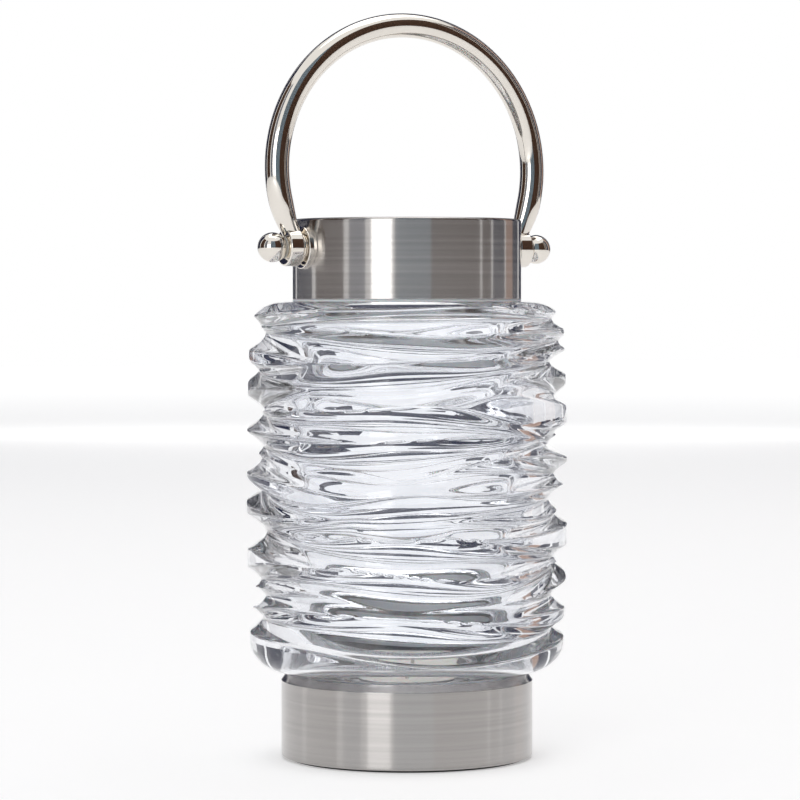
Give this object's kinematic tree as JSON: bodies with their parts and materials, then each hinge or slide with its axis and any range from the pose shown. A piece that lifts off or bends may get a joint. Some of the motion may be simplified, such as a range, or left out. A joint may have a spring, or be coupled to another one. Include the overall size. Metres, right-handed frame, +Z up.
{
  "type": "candle lantern",
  "caption": "Upright candle lantern: ridged clear glass chimney between a steel collar and a steel base cup, swinging ring handle, loose tealight inside.",
  "frame": {"origin": "middle of the underside, on the surface the foot ring rests on", "axes": "+Z up; X along the line through the two handle pivots"},
  "size_m": [0.1082, 0.107, 0.2476],
  "materials": {
    "clear_glass": "clear, fire polished",
    "brushed_band": "stainless, brushed round the band",
    "polished_steel": "stainless, mirror polished",
    "fastener_steel": "plain stainless",
    "pan_steel": "pressed stainless sheet",
    "foot_rubber": "matt black",
    "seal_silicone": "translucent white silicone",
    "bush_nylon": "natural nylon",
    "tealight_foil": "drawn foil cup",
    "candle_wax": "white paraffin",
    "wick_cotton": "braided cotton"
  },
  "bodies": {
    "lantern": {"foot_ring": "foot_rubber", "base_cup": "brushed_band", "base_pad": "seal_silicone", "base_seal": "seal_silicone", "candle_pan": "pan_steel", "pan_rivets": "fastener_steel", "glass_body": "clear_glass", "shoulder_gasket": "seal_silicone", "collar_seal": "seal_silicone", "top_collar": "brushed_band", "left_spacer": "polished_steel", "left_pivot_stud": "fastener_steel", "left_ball_knob": "polished_steel", "left_inner_washer": "fastener_steel", "left_pivot_nut": "fastener_steel", "right_spacer": "polished_steel", "right_pivot_stud": "fastener_steel", "right_ball_knob": "polished_steel", "right_inner_washer": "fastener_steel", "right_pivot_nut": "fastener_steel"},
    "handle": {"handle_rod": "polished_steel", "left_handle_hub": "polished_steel", "left_hub_bush": "bush_nylon", "right_handle_hub": "polished_steel", "right_hub_bush": "bush_nylon"},
    "candle": {"tealight_cup": "tealight_foil", "tealight_wax": "candle_wax", "wick": "wick_cotton", "wick_tab": "fastener_steel"}
  },
  "joints": [
    {"name": "handle_swing", "type": "hinge", "parent": "lantern", "child": "handle", "pos_m": [0, 0, 0.1696], "axis": [1, 0, 0], "range_deg": [-125, 125]},
    {"name": "candle_lift", "type": "slide", "parent": "lantern", "child": "candle", "axis": [0, 0, 1], "range_m": [0, 0.185]}
  ]
}
